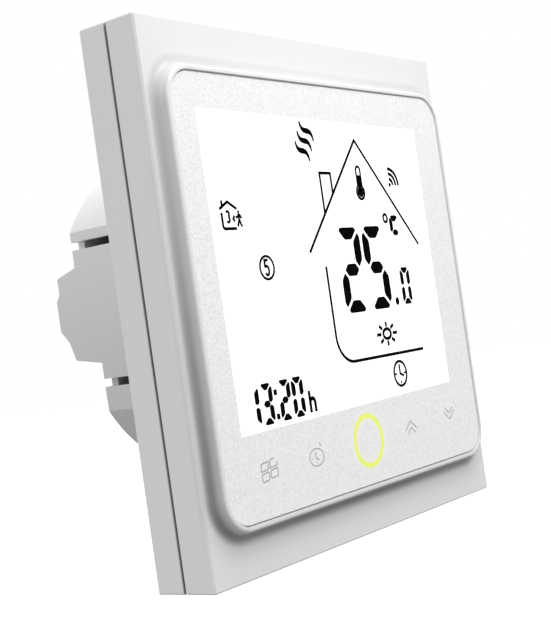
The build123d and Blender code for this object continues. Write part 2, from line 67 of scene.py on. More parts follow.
def makeCamera(azimuth, elevation, roll, place, lens):
    # Looks against the direction given by azimuth and elevation, then leans by roll about it.
    a, e, lean = math.radians(azimuth), math.radians(elevation), math.radians(roll)
    back = Vector((math.sin(a) * math.cos(e), -math.cos(a) * math.cos(e), math.sin(e)))
    side = Vector((0, 0, 1)).cross(back).normalized()
    up = back.cross(side)
    right = side * math.cos(lean) + up * math.sin(lean)
    above = up * math.cos(lean) - side * math.sin(lean)
    data = bpy.data.cameras.new("camera")
    data.lens, data.sensor_width, data.sensor_fit = lens, 36, "AUTO"
    data.clip_start, data.clip_end = 0.005, 20
    camera = bpy.data.objects.new("camera", data)
    turned = Matrix((right, above, back)).transposed().to_4x4()
    camera.matrix_world = Matrix.Translation(place) @ turned
    scene.collection.objects.link(camera)
    scene.camera = camera


makeCamera(**viewPoint)


class Signal:
    # One socket of a material. Arithmetic on it adds Math nodes to the same sheet.
    def __init__(self, sheet, socket):
        self.sheet, self.socket = sheet, socket

    def maths(self, operation, *values):
        return self.sheet.node("ShaderNodeMath", {"operation": operation}, dict(enumerate(values)))

    def __add__(self, other):
        return self.maths("ADD", self, other)

    def __radd__(self, other):
        return self.maths("ADD", other, self)

    def __sub__(self, other):
        return self.maths("SUBTRACT", self, other)

    def __rsub__(self, other):
        return self.maths("SUBTRACT", other, self)

    def __mul__(self, other):
        return self.maths("MULTIPLY", self, other)

    def __rmul__(self, other):
        return self.maths("MULTIPLY", other, self)

    def __truediv__(self, other):
        return self.maths("DIVIDE", self, other)

    def __pow__(self, other):
        return self.maths("POWER", self, other)

    def __abs__(self):
        return self.maths("ABSOLUTE", self)

    def __lt__(self, other):
        return self.maths("LESS_THAN", self, other)

    def __gt__(self, other):
        return self.maths("GREATER_THAN", self, other)

    def larger(self, other):
        return self.maths("MAXIMUM", self, other)

    def ramp(self, low, high, start=0.0, end=1.0):
        # Goes smoothly from start to end as the value goes from low to high.
        return self.sheet.node(
            "ShaderNodeMapRange",
            {"interpolation_type": "SMOOTHSTEP"},
            {"Value": self, "From Min": low, "From Max": high, "To Min": start, "To Max": end},
            "Result",
        )


class Sheet:
    # One material's node tree, with its Principled shader ready.
    def __init__(self, name):
        self.material = bpy.data.materials.new(name)
        self.material.use_nodes = True
        self.tree = self.material.node_tree
        self.shader = next(n for n in self.tree.nodes if n.type == "BSDF_PRINCIPLED")
        self.place = self.node("ShaderNodeTexCoord", {}, {}, "Object")

    def node(self, kind, settings, values, output=0):
        made = self.tree.nodes.new(kind)
        for key, value in settings.items():
            setattr(made, key, value)
        self.feed(made, values)
        return Signal(self, made.outputs[output])

    def feed(self, made, values):
        for key, value in values.items():
            socket = made.inputs[key]
            if isinstance(value, Signal):
                self.tree.links.new(value.socket, socket)
            else:
                socket.default_value = (*value, 1) if socket.type == "RGBA" and len(value) == 3 else value

    def axes(self):
        return [self.node("ShaderNodeSeparateXYZ", {}, {"Vector": self.place}, i) / mm for i in range(3)]

    def noise(self, size, detail=3.0):
        # Soft noise with spots of the given size in millimetres.
        values = {"Vector": self.place, "Scale": 1 / (size * mm), "Detail": detail, "Roughness": 0.5}
        return self.node("ShaderNodeTexNoise", {}, values, "Fac")

    def cells(self, size, output):
        values = {"Vector": self.place, "Scale": 1 / (size * mm), "Randomness": 1.0}
        return self.node("ShaderNodeTexVoronoi", {"feature": "F1"}, values, output)

    def blend(self, share, first, second):
        # Colour between first and second.
        return self.node("ShaderNodeMix", {"data_type": "RGBA"}, {0: share, 6: first, 7: second}, 2)

    def bump(self, height, depth, strength=1.0):
        values = {"Height": height, "Distance": depth * mm, "Strength": strength}
        return self.node("ShaderNodeBump", {}, values, "Normal")

    def set(self, **values):
        self.feed(self.shader, {key.replace("_", " "): value for key, value in values.items()})
        return self.material


def shade(colour, factor):
    return tuple(min(1.0, c * factor) for c in colour)


floorSize = {"radius": 4.0, "under": 0.11, "albedo": 0.9, "glow": 0.55}


def makeFloor(radius, under, albedo, glow):
    # A flat ring of points closed by one face, under the lowest corner of the object.
    turn = np.linspace(0, 2 * np.pi, 64, endpoint=False)
    height = cadBox[0].z - under
    points = np.stack([radius * np.cos(turn), radius * np.sin(turn), np.full(64, height)], axis=1)
    mesh = bpy.data.meshes.new("floor")
    mesh.from_pydata(points.tolist(), [], [list(range(64))])
    floor = bpy.data.objects.new("floor", mesh)
    scene.collection.objects.link(floor)
    sheet = Sheet("floor paper")
    tone = sheet.noise(40).ramp(0.2, 0.8, albedo - 0.01, albedo + 0.01)
    colour = sheet.node("ShaderNodeCombineColor", {}, {0: tone, 1: tone, 2: tone})
    sheet.set(Base_Color=colour, Roughness=0.9, Emission_Color=(1, 1, 1, 1), Emission_Strength=glow)
    mesh.materials.append(sheet.material)
    floor.visible_diffuse = floor.visible_glossy = floor.visible_shadow = False


makeFloor(**floorSize)

roomLight = {
    "mean": 0.70,
    "lean": (0.10, 0.05, 0.43),  # brighter towards the right and above
    "backdrop": 1.0,
}
softBoxes = {
    "key": {"place": (0.0, -0.10, 0.16), "aim": (0.0, -0.012, 0.02), "side": 0.10, "watts": 0.16},
}


def makeWorld(mean, lean, backdrop):
    # The room's light is a mean plus a share of the direction along lean. The backdrop is plain.
    world = bpy.data.worlds.new("room")
    world.use_nodes = True
    scene.world = world
    tree = world.node_tree
    tree.nodes.clear()
    way = tree.nodes.new("ShaderNodeTexCoord")
    along = tree.nodes.new("ShaderNodeVectorMath")
    along.operation = "DOT_PRODUCT"
    along.inputs[1].default_value = lean
    level = tree.nodes.new("ShaderNodeMath")
    level.operation = "ADD"
    level.inputs[1].default_value = mean
    room, plain = (tree.nodes.new("ShaderNodeBackground") for _ in range(2))
    room.inputs["Color"].default_value = plain.inputs["Color"].default_value = (1, 1, 1, 1)
    plain.inputs["Strength"].default_value = backdrop
    rays = tree.nodes.new("ShaderNodeLightPath")
    mixed = tree.nodes.new("ShaderNodeMixShader")
    end = tree.nodes.new("ShaderNodeOutputWorld")
    for a, b in (
        (way.outputs["Generated"], along.inputs[0]),
        (along.outputs["Value"], level.inputs[0]),
        (level.outputs[0], room.inputs["Strength"]),
        (rays.outputs["Is Camera Ray"], mixed.inputs[0]),
        (room.outputs[0], mixed.inputs[1]),
        (plain.outputs[0], mixed.inputs[2]),
        (mixed.outputs[0], end.inputs["Surface"]),
    ):
        tree.links.new(a, b)


def makeSoftBox(name, place, aim, side, watts):
    data = bpy.data.lights.new(name, "AREA")
    data.size, data.energy = side, watts
    lamp = bpy.data.objects.new(name, data)
    facing = (Vector(place) - Vector(aim)).to_track_quat("Z", "Y").to_matrix().to_4x4()
    lamp.matrix_world = Matrix.Translation(place) @ facing
    scene.collection.objects.link(lamp)


makeWorld(**roomLight)
for name, box in softBoxes.items():
    makeSoftBox(name, **box)
scene.view_settings.view_transform = "Standard"

print("stage: flat shapes")


def rounded(corners, cuts=2, share=0.25):
    # Each pass replaces every corner of a closed outline by two points, a share along each side.
    points = np.array(corners, float)
    for _ in range(cuts):
        ahead = np.roll(points, -1, axis=0)
        near, far = points * (1 - share) + ahead * share, points * share + ahead * (1 - share)
        points = np.stack([near, far], axis=1).reshape(-1, 2)
    return points


def arc(centre, radii, start, end, count=24):
    # Centre plus the two radii times the cosine and sine of an angle from start to end, in degrees.
    turn = np.radians(np.linspace(start, end, count))
    radii = np.broadcast_to(radii, 2)
    return np.stack([centre[0] + radii[0] * np.cos(turn), centre[1] + radii[1] * np.sin(turn)], axis=1)


def ringOf(centre, radii, count=40):
    return arc(centre, radii, 0, 360, count + 1)[:-1]


def bend(ends, count=18):
    # Cubic curve from the first point to the last, pulled by the two between.
    t = np.linspace(0, 1, count)[:, None]
    a, b, c, d = (np.array(p, float) for p in ends)
    return a * (1 - t) ** 3 + 3 * b * t * (1 - t) ** 2 + 3 * c * t**2 * (1 - t) + d * t**3


def lineOf(path, width, closed=False):
    # Both edges of a line of points: half its width along the mean of its sides' normals.
    path = np.array(path, float)
    steps = np.diff(np.vstack([path, path[:1]]) if closed else path, axis=0)
    steps = steps / np.linalg.norm(steps, axis=1)[:, None]
    normals = np.stack([-steps[:, 1], steps[:, 0]], axis=1)
    before = np.roll(normals, 1, axis=0) if closed else np.vstack([normals[:1], normals])
    after = normals if closed else np.vstack([normals, normals[-1:]])
    mitre = (before + after) / (1 + (before * after).sum(axis=1))[:, None]
    half = np.broadcast_to(np.asarray(width, float) / 2, len(path))[:, None]
    return {"left": path + mitre * half, "right": path - mitre * half, "closed": closed}


def solidOf(shape, low, high):
    # Vertices and faces of a flat shape between two heights out from the wall, in millimetres.
    band = isinstance(shape, dict)
    flat = np.vstack([shape["left"], shape["right"]]) if band else np.asarray(shape, float)
    total = len(flat)
    near, far = np.full(total, -high), np.full(total, -low)
    points = np.vstack([np.stack([flat[:, 0], y, flat[:, 1]], axis=1) for y in (near, far)])
    if not band:
        i = np.arange(total)
        j = (i + 1) % total
        walls = np.stack([i, i + total, j + total, j], axis=1)
        return points * mm, [i.tolist(), (i[::-1] + total).tolist(), *walls.tolist()]
    n = total // 2
    i = np.arange(n if shape["closed"] else n - 1)
    j = (i + 1) % n
    front = np.stack([i + n, j + n, j, i], axis=1)
    rear = front[:, ::-1] + total
    under = np.stack([i + n, i + n + total, j + n + total, j + n], axis=1)
    over = np.stack([i, j, j + total, i + total], axis=1)
    faces = [front, rear, under, over]
    if not shape["closed"]:
        e = n - 1
        faces.append(np.array([[0, total, n + total, n], [n + e, n + e + total, e + total, e]]))
    return points * mm, np.vstack(faces).tolist()


def flatPiece(name, shapes, low, high, body, material, slot):
    # One object made of many flat shapes, standing out from the wall between two heights.
    points, faces, start = [], [], 0
    for shape in shapes:
        some, these = solidOf(shape, low, high)
        points.append(some)
        faces.extend([[k + start for k in face] for face in these])
        start += len(some)
    mesh = bpy.data.meshes.new(name)
    mesh.from_pydata(np.vstack(points).tolist(), [], faces)
    mesh.materials.append(material)
    piece = bpy.data.objects.new(name, mesh)
    scene.collection.objects.link(piece)
    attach(piece, body)
    return piece


print("stage: display")

segmentInk = Sheet("segment ink")
inkTone = segmentInk.noise(0.6).ramp(0.3, 0.7)
segmentInk.set(
    Base_Color=segmentInk.blend(inkTone, (0.002, 0.002, 0.002), (0.006, 0.006, 0.006)),
    Roughness=inkTone * 0.1 + 0.6,
    Specular_IOR_Level=0.0,
)

litSegments = {  # top, upper right, lower right, bottom, lower left, upper left, middle
    0: "abcdef",
    1: "bc",
    2: "abged",
    3: "abgcd",
    5: "afgcd",
}
bigDigits = {"half": (3.62, 7.5), "thick": 2.16, "taper": 1.0}
smallDigits = {"half": (1.65, 3.42), "thick": 1.08, "taper": 0.55}
clockDigits = {"half": (1.6, 3.26), "thick": 1.08, "taper": 0.6}


def digit(number, centre, half, thick, taper):
    # Seven bars with corners cut at 45 degrees, mirrored left to right and top to bottom.
    wide, tall = half
    t = thick
    top = [
        (wide - 0.64 * t, tall),
        (0.64 * t - wide, tall),
        (0.44 * t - wide, tall - 0.26 * t),
        (1.18 * t - wide, tall - t),
        (wide - 1.18 * t, tall - t),
        (wide - 0.44 * t, tall - 0.26 * t),
    ]
    side = [
        (wide - 0.28 * t, tall - 0.47 * t),
        (wide - t, tall - (1 + 0.2 * taper) * t),
        (wide - t, 0.72 * taper * t),
        (wide - 0.52 * t, 0.22 * taper * t),
        (wide, 0.82 * taper * t),
        (wide, tall - (0.47 + 0.39 * taper) * t),
    ]
    middle = [
        (wide - 1.10 * t, 0.5 * t),
        (1.10 * t - wide, 0.5 * t),
        (0.66 * t - wide, 0),
        (1.10 * t - wide, -0.5 * t),
        (wide - 1.10 * t, -0.5 * t),
        (wide - 0.66 * t, 0),
    ]
    bars = {
        "a": (top, 1, 1),
        "b": (side, 1, 1),
        "c": (side, 1, -1),
        "d": (top, 1, -1),
        "e": (side, -1, -1),
        "f": (side, -1, 1),
        "g": (middle, 1, 1),
    }
    made = []
    for key in litSegments[number]:
        corners, flipX, flipZ = bars[key]
        points = rounded(corners, 1, 0.11) * (flipX, flipZ) + centre
        made.append(points if flipX * flipZ > 0 else points[::-1])
    return made


temperature = {
    "digits": [(2, (4.35, 2.48)), (5, (12.42, 2.55))],
    "tenth": (0, (21.62, -1.25)),
    "point": ((17.8, -3.92), (0.62, 0.72)),
    "degree": ((17.66, 11.42), (0.66, 0.72), 0.5),
}
degreeLetter = [
    [(20.05, 10.78), (20.95, 10.78), (21.85, 11.5), (21.3, 11.95), (19.75, 11.9), (19.45, 11.6)],
    [(18.9, 9.15), (19.45, 8.8), (19.98, 9.35), (19.98, 10.75), (19.4, 11.5), (18.9, 11.2)],
    [(19.6, 8.62), (20.2, 8.15), (21.2, 8.2), (21.68, 8.75), (21.05, 9.28), (20.1, 9.25)],
]
timeOfDay = {
    "digits": [(1, -28.72), (3, -25.2), (2, -20.38), (0, -16.8)],
    "middle": (-17.27, -22.0, 0.012),  # height, where along the line, rise towards the right
    "dots": [(-22.78, -15.75), (-22.78, -19.6)],
    "dot": (0.42, 0.46),
    "hour": (-13.78, -16.62, -20.2, -12.4, 0.66),
}


def temperatureShapes(digits, tenth, point, degree):
    made = [p for number, centre in digits for p in digit(number, centre, **bigDigits)]
    made += digit(tenth[0], tenth[1], **smallDigits)
    made.append(ringOf(*point, 20))
    made.append(lineOf(ringOf(degree[0], degree[1]), degree[2], True))
    return made + [rounded(part, 1, 0.12) for part in degreeLetter]


def timeShapes(digits, middle, dots, dot, hour):
    height, start, rise = middle
    made = []
    for number, x in digits:
        made += digit(number, (x, height + rise * (x - start)), **clockDigits)
    box = np.array([(1, 1), (-1, 1), (-1, -1), (1, -1)]) * dot
    made += [rounded(box + centre, 2, 0.12) for centre in dots]
    stem, high, low, leg, wide = hour
    reach = (leg - stem) / 2
    arch = arc((stem + reach, low + 1.55), (reach, 0.72), 180, 0, 16)
    made.append(lineOf([(stem, low), (stem, high)], wide))
    made.append(lineOf(np.vstack([arch, [(leg, low)]]), wide))
    return made


house = {
    "roof": [(-7.75, 5.95), (10.8, 25.62), (28.3, 6.3)],
    "chimney": [(-1.66, 12.55), (-1.66, 19.52), (1.62, 19.52), (1.62, 15.95)],
    "wall": (-3.62, 3.4, 4.7, -13.3, 24.5),  # x, top, corner radius, floor, end of the floor
    "width": 0.52,
}


def houseShapes(roof, chimney, wall, width):
    x, top, corner, ground, end = wall
    turned = arc((x + corner, ground + corner), corner, 180, 270, 20)
    floorLine = np.vstack([[(x, top)], turned, [(end, ground)]])
    return [lineOf(roof, width), lineOf(chimney, width), lineOf(floorLine, width * 1.06)]


thermometer = {"x": 10.66, "top": 20.85, "tube": 0.68, "bulb": (16.22, 1.25), "line": 0.46}
waves = {
    "ends": [(-5.55, 28.35), (-5.0, 25.3), (-2.55, 28.2), (-1.98, 24.95)],
    "step": (-0.98, -1.74),
    "width": (0.34, 0.66),
}
radioSign = {"centre": (20.95, 17.62), "radii": (1.05, 2.05, 3.0), "width": 0.6}
sun = {
    "centre": (12.66, -9.5),
    "ring": (1.26, 0.88),
    "width": 0.6,
    "rays": (1.95, 1.28, 3.4, 2.15),  # inner and outer half sizes of the star of rays
}
dial = {"centre": (15.22, -17.0), "radii": (2.12, 2.24), "width": 0.5}
smallHouse = {
    "roof": [(-30.25, 13.5), (-28.1, 14.62), (-25.95, 13.5)],
    "chimney": [(-29.52, 14.85), (-29.52, 14.0)],
    "wall": (-29.85, 12.95, 0.5, 10.42, -26.55),
    "width": 0.46,
}
walker = [
    [(-26.42, 12.12), (-25.95, 12.3), (-25.62, 12.62), (-25.3, 12.42), (-25.02, 12.0)],
    [(-25.66, 12.7), (-25.66, 11.75), (-25.92, 11.35), (-26.12, 10.72)],
    [(-25.62, 11.9), (-25.4, 11.2), (-25.08, 10.68)],
    [(-26.72, 12.42), (-27.12, 11.96), (-26.72, 11.52)],
]
countInHouse = [
    arc((-28.36, 12.72), (0.34, 0.42), 150, -80, 12),
    arc((-28.36, 11.86), (0.36, 0.44), 80, -150, 12),
]
circled = {"centre": (-20.25, 3.98), "radii": (1.84, 1.86), "width": 0.42}
figureFive = np.vstack(
    [
        [(-19.86, 5.2), (-20.72, 5.2), (-20.76, 4.22)],
        arc((-20.3, 3.52), (0.5, 0.74), 118, -150, 16),
    ]
)


def signShapes():
    made = []
    x, top, tube = thermometer["x"], thermometer["top"], thermometer["tube"]
    bulbZ, bulb = thermometer["bulb"]
    neck = math.degrees(math.acos(tube / bulb))
    over = arc((x, top - tube), tube, 180, 0, 14)
    around = arc((x, bulbZ), bulb, neck, -180 - neck, 30)
    made.append(lineOf(np.vstack([over, around]), thermometer["line"], True))
    made.append(lineOf([(x, bulbZ), (x, 19.3)], 0.86))
    made.append(ringOf((x, bulbZ), 0.94, 24))
    for k in range(3):
        path = bend(np.array(waves["ends"]) + np.array(waves["step"]) * k)
        swell = np.sin(np.linspace(0, np.pi, len(path)))
        made.append(lineOf(path, waves["width"][0] + waves["width"][1] * swell))
    made += [
        lineOf(arc(radioSign["centre"], r, 92, -2, 16), radioSign["width"]) for r in radioSign["radii"]
    ]
    made.append(ringOf(radioSign["centre"], 0.38, 16))
    made.append(lineOf(ringOf(sun["centre"], sun["ring"]), sun["width"], True))
    centre, rays = np.array(sun["centre"]), np.array(sun["rays"])
    for turn in np.radians(np.arange(0, 360, 45)):
        way = np.array([math.cos(turn), math.sin(turn)])
        made.append(lineOf([centre + way * rays[:2], centre + way * rays[2:]], sun["width"]))
    centre = np.array(dial["centre"])
    made.append(lineOf(ringOf(centre, dial["radii"]), dial["width"], True))
    made.append(lineOf(centre + [(-0.06, 1.7), (-0.08, 0.0), (1.15, -0.52)], 0.46))
    made += [lineOf(centre + [(s * 1.9, 0.0), (s * 1.2, 0.0)], 0.36) for s in (-1, 1)]
    made.append(ringOf(centre + (-0.06, -1.6), 0.24, 12))
    made += houseShapes(**smallHouse)
    made += [lineOf(path, 0.42) for path in walker + countInHouse]
    made.append(ringOf((-25.64, 13.02), 0.26, 14))
    made.append(lineOf(ringOf(circled["centre"], circled["radii"]), circled["width"], True))
    made.append(lineOf(figureFive, 0.46))
    return made


glassFront = -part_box("display_glass")[0].y / mm
inkHeight = (glassFront, glassFront + 0.05)
for name, shapes in (
    ("display_temperature", temperatureShapes(**temperature)),
    ("display_time", timeShapes(**timeOfDay)),
    ("display_house", houseShapes(**house)),
    ("display_signs", signShapes()),
):
    flatPiece(name, shapes, *inkHeight, "front_unit", segmentInk.material, "display_glass")

print("stage: key signs")

signInk = Sheet("key sign ink")
signTone = signInk.noise(0.3).ramp(0.3, 0.7)
signInk.set(
    Base_Color=signInk.blend(signTone, (0.40, 0.385, 0.392), (0.47, 0.455, 0.462)),
    Roughness=signTone * 0.1 + 0.35,
)
keySigns = {"width": 0.2, "proud": 0.012}
menuSign = {"centre": (-28.5, -27.15), "square": (0.90, 0.60), "apart": (1.12, 0.80)}
clockSign = {"centre": (-15.75, -27.3), "radii": (1.98, 1.4)}
arrowSigns = [  # x, height of the first apex, direction, step between the two
    (14.3, -25.65, 1),
    (28.6, -27.35, -1),
]


def keyShapes(width):
    made = []
    centre, square, apart = (np.array(menuSign[k]) for k in ("centre", "square", "apart"))
    corners = np.array([(1, 1), (-1, 1), (-1, -1), (1, -1)])
    for k, corner in enumerate(corners):
        outline = corner * apart + corners * square
        outline = centre + outline + outline[:, :1] * (0, 0.13)
        if k:
            made.append(lineOf(rounded(outline, 1, 0.10), width, True))
        else:  # this square is open at its outer corner
            gap = outline[[0]] + [(-0.75, 0), (0, -0.62)]
            made.append(lineOf(np.vstack([gap[:1], outline[1:], gap[1:]]), width))
    centre = np.array(clockSign["centre"])
    made.append(lineOf(ringOf(centre, clockSign["radii"]), width, True))
    made.append(lineOf(centre + [(-0.3, 0.85), (-0.15, -0.12), (0.62, -0.5)], width))
    made += [ringOf(centre + dot, 0.09, 8) for dot in ((-1.25, -0.1), (0.1, -1.0), (1.2, 0.1))]
    made.append(lineOf(centre + [(1.15, 2.2), (1.5, 1.6)], width))
    for x, z, way in arrowSigns:
        made.append(lineOf([(x - 1.9, z - way * 1.5), (x, z), (x + 1.9, z - way * 1.5)], width))
        z -= way * 1.15
        made.append(lineOf([(x - 1.3, z - way * 1.05), (x, z), (x + 1.3, z - way * 1.05)], width))
    return made


lensFront = -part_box("touch_lens")[0].y / mm
signHeight = (lensFront, lensFront + keySigns["proud"])
flatPiece("key_signs", keyShapes(keySigns["width"]), *signHeight, "front_unit", signInk.material, "lens")

print("stage: small parts")

chipParts = {"count": 46, "size": (1.6, 0.8), "height": 0.34, "edge": 0.25, "seed": 7}


def blocks(name, centres, sizes, body, material, edge=0.05):
    # A block at each centre: eight corners, half its size to either side, softened by a bevel.
    signs = np.array([(i, j, k) for i in (-1, 1) for j in (-1, 1) for k in (-1, 1)]) / 2
    points = (centres[:, None] + signs[None] * sizes[:, None]).reshape(-1, 3)
    sides = np.array([(0, 1, 3, 2), (4, 6, 7, 5), (0, 4, 5, 1), (2, 3, 7, 6), (0, 2, 6, 4), (1, 5, 7, 3)])
    faces = (sides[None] + 8 * np.arange(len(centres))[:, None, None]).reshape(-1, 4)
    mesh = bpy.data.meshes.new(name)
    mesh.from_pydata((points * mm).tolist(), [], faces.tolist())
    mesh.materials.append(material)
    piece = bpy.data.objects.new(name, mesh)
    scene.collection.objects.link(piece)
    bevel = piece.modifiers.new("soft edges", "BEVEL")
    bevel.width, bevel.segments = edge * mm, 2
    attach(piece, body)
    return piece


def controlParts(count, size, height, edge, seed):
    # Chip resistors on the rear of the control board, kept clear of what the board already carries.
    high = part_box("control_board")[1]
    rear = high.y / mm
    chance = np.random.default_rng(seed)
    taken = [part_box(n) for n in nodes if n not in ("control_board", "steel_plate", "front_frame")]
    taken = [(a / mm, b / mm) for a, b in taken if b.y > high.y and a.y < high.y + 0.0005]
    taken = [(a, b) for a, b in taken if b.x - a.x < 60]
    places = []
    while len(places) < count:
        x, z = chance.uniform((-34, -33), (34, 33))
        x, z = round(x / 1.27) * 1.27, round(z / 1.27) * 1.27
        onPart = any(a.x - 1.6 < x < b.x + 1.6 and a.z - 1.2 < z < b.z + 1.2 for a, b in taken)
        apart = all(abs(x - u) > 2.4 or abs(z - v) > 1.4 for u, v in places)
        if not onPart and apart:
            places.append((x, z))
    places = np.array(places)
    depth = np.full(count, rear + height / 2)
    middle = np.stack([places[:, 0], depth, places[:, 1]], axis=1)
    core = np.array([size[0] - 2 * edge, height * 0.92, size[1] * 0.96])
    cap = np.array([edge, height, size[1]])
    shift = np.array([(size[0] - edge) / 2, 0, 0])
    lot = np.tile(core, (count, 1))
    blocks("control_chips", middle, lot, "front_unit", made["black chip resin"], 0.04)
    ends, caps = np.vstack([middle - shift, middle + shift]), np.tile(cap, (2 * count, 1))
    blocks("control_chip_ends", ends, caps, "front_unit", made["tinned ends"], 0.04)


poleNumbers = {"height": 2.0, "wide": 1.15, "line": 0.28, "proud": 0.1, "z": 6.9, "depth": 31.6}
numberPaths = {  # strokes on a unit square, from the lower left corner
    1: [[(0.25, 0.78), (0.55, 1), (0.55, 0)]],
    2: [[(0, 0.8), (0.12, 1), (0.88, 1), (1, 0.8), (1, 0.62), (0, 0), (1, 0)]],
    3: [[(0, 1), (1, 1), (0.45, 0.58), (1, 0.4), (1, 0.12), (0.85, 0), (0, 0)]],
    4: [[(0.75, 0), (0.75, 1), (0, 0.3), (1, 0.3)]],
    5: [[(1, 1), (0.05, 1), (0, 0.56), (0.8, 0.56), (1, 0.42), (1, 0.12), (0.85, 0), (0, 0)]],
    6: [[(0.85, 1), (0.1, 0.6), (0, 0.15), (0.15, 0), (0.85, 0), (1, 0.15), (1, 0.4), (0.85, 0.5), (0.08, 0.5)]],
}


def makeNumbers(height, wide, line, proud, z, depth):
    # Moulded numbers over the terminal screws. They read from behind, so they run towards -x.
    shapes = []
    for number, strokes in numberPaths.items():
        low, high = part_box(f"terminal_screw_{number}")
        middle = (low.x + high.x) / 2 / mm
        for stroke in strokes:
            path = np.array(stroke) * (-wide, height) + (middle + wide / 2, z - height / 2)
            shapes.append(lineOf(path, line))
    flatPiece("terminal_numbers", shapes, -depth - proud, -depth, "base", made["number relief"], "box_abs")


print("stage: materials")

windowOf = {
    "sides": (-34.1, 30.35),
    "top": (28.4, -0.012),  # height at the middle of the lens, and its slope towards the right
    "bottom": (-20.75, 0.014),
}
sparkle = {"grain": 0.20, "flake": 0.19, "paint": (0.90, 0.90, 0.90), "glint": (1.0, 1.0, 1.0)}
litRing = {"centre": (0.0, -27.0), "radius": 4.24, "half": 0.44, "soft": 0.3}


def pastWindow(x, z, sides, top, bottom):
    # How far a point lies outside the printed window, in millimetres; negative inside it.
    across = (x - sides[1]).larger(sides[0] - x)
    return across.larger(z - (x * top[1] + top[0])).larger(x * bottom[1] + bottom[0] - z)


def pastGlass(x, z, inset):
    # The same for the display glass, seen through the lens.
    low, high = (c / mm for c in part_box("display_glass"))
    across = abs(x - (low.x + high.x) / 2) - ((high.x - low.x) / 2 - inset)
    return across.larger(abs(z - (low.z + high.z) / 2) - ((high.z - low.z) / 2 - inset))


def lensMaterial():
    # Printed lens: sparkle paint on its face, a clear window, a lit ring in the paint, and a faint painted glow
    # over the print.
    sheet = Sheet("sparkle printed lens")
    x, y, z = sheet.axes()
    facing = y < 0.05 - lensFront
    behind = pastGlass(x, z, 0.3)
    printed = (pastWindow(x, z, **windowOf) > 0) * facing + (behind > 0) * (1 - facing)
    grain = sheet.node("ShaderNodeSeparateColor", {}, {0: sheet.cells(sparkle["grain"], "Color")})
    flake = sheet.node("ShaderNodeSeparateColor", {}, {0: sheet.cells(sparkle["flake"], "Color")}, 1)
    soft = sheet.noise(0.5, 2.0)
    level = grain.ramp(0.0, 1.0, 0.0, 0.6) + soft.ramp(0.3, 0.7, 0.0, 0.4)
    paint = sheet.blend(level, shade(sparkle["paint"], 0.88), shade(sparkle["paint"], 1.1))
    paint = sheet.blend((flake > 0.88) * 1.0, paint, sparkle["glint"])
    away = ((x - litRing["centre"][0]) ** 2 + (z - litRing["centre"][1]) ** 2) ** 0.5
    offRing = abs(away - litRing["radius"])
    half, blur = litRing["half"], litRing["soft"]
    ring = offRing.ramp(half - blur, half + blur, 1.0, 0.0) * facing
    halo = offRing.ramp(half, half + 1.3, 0.10, 0.0) * facing
    colour = sheet.blend(ring, paint, (0.47, 0.52, 0.04))
    # painted light: the whole print glows faintly, besides the lit ring
    glow = sheet.blend(ring.larger(halo), (0.07, 0.07, 0.07), (0.44, 0.48, 0.08))
    lit = (1 - facing) * (behind < 3.5)  # the rear print beside the window is lit by the display
    glow = sheet.blend(lit, glow, (1.0, 1.0, 1.0))
    tilt = sheet.node(
        "ShaderNodeVectorMath",
        {"operation": "MULTIPLY_ADD"},
        {0: sheet.cells(sparkle["flake"], "Color"), 1: (0.16,) * 3, 2: (-0.08,) * 3},
    )
    normal = sheet.node("ShaderNodeNewGeometry", {}, {}, "Normal")
    tilted = sheet.node("ShaderNodeVectorMath", {"operation": "ADD"}, {0: normal, 1: tilt})
    sheet.set(
        Base_Color=colour,
        Alpha=printed,
        Roughness=printed * 0.22 + 0.08,
        Metallic=printed * 0.08,
        Normal=sheet.node("ShaderNodeVectorMath", {"operation": "NORMALIZE"}, {0: tilted}),
        Emission_Color=glow,
        Emission_Strength=1.0,
        Coat_Weight=0.35,
        Coat_Roughness=0.05,
    )
    return sheet.material


def displayMaterial():
    # Lit liquid crystal glass: even white, a touch dimmer towards its rim.
    sheet = Sheet("lit display glass")
    x, y, z = sheet.axes()
    level = pastGlass(x, z, 0.0).ramp(-0.5, 0.0, 1.0, 0.9) * sheet.noise(12).ramp(0.2, 0.8, 0.985, 1.0)
    sheet.set(
        Base_Color=sheet.blend(level, (0.72, 0.74, 0.74), (0.90, 0.91, 0.91)),
        Emission_Color=sheet.blend(level, (0.2, 0.2, 0.2), (0.62, 0.62, 0.62)),
        Emission_Strength=1.0,
        Roughness=sheet.noise(3).ramp(0.2, 0.8, 0.10, 0.16),
    )
    return sheet.material


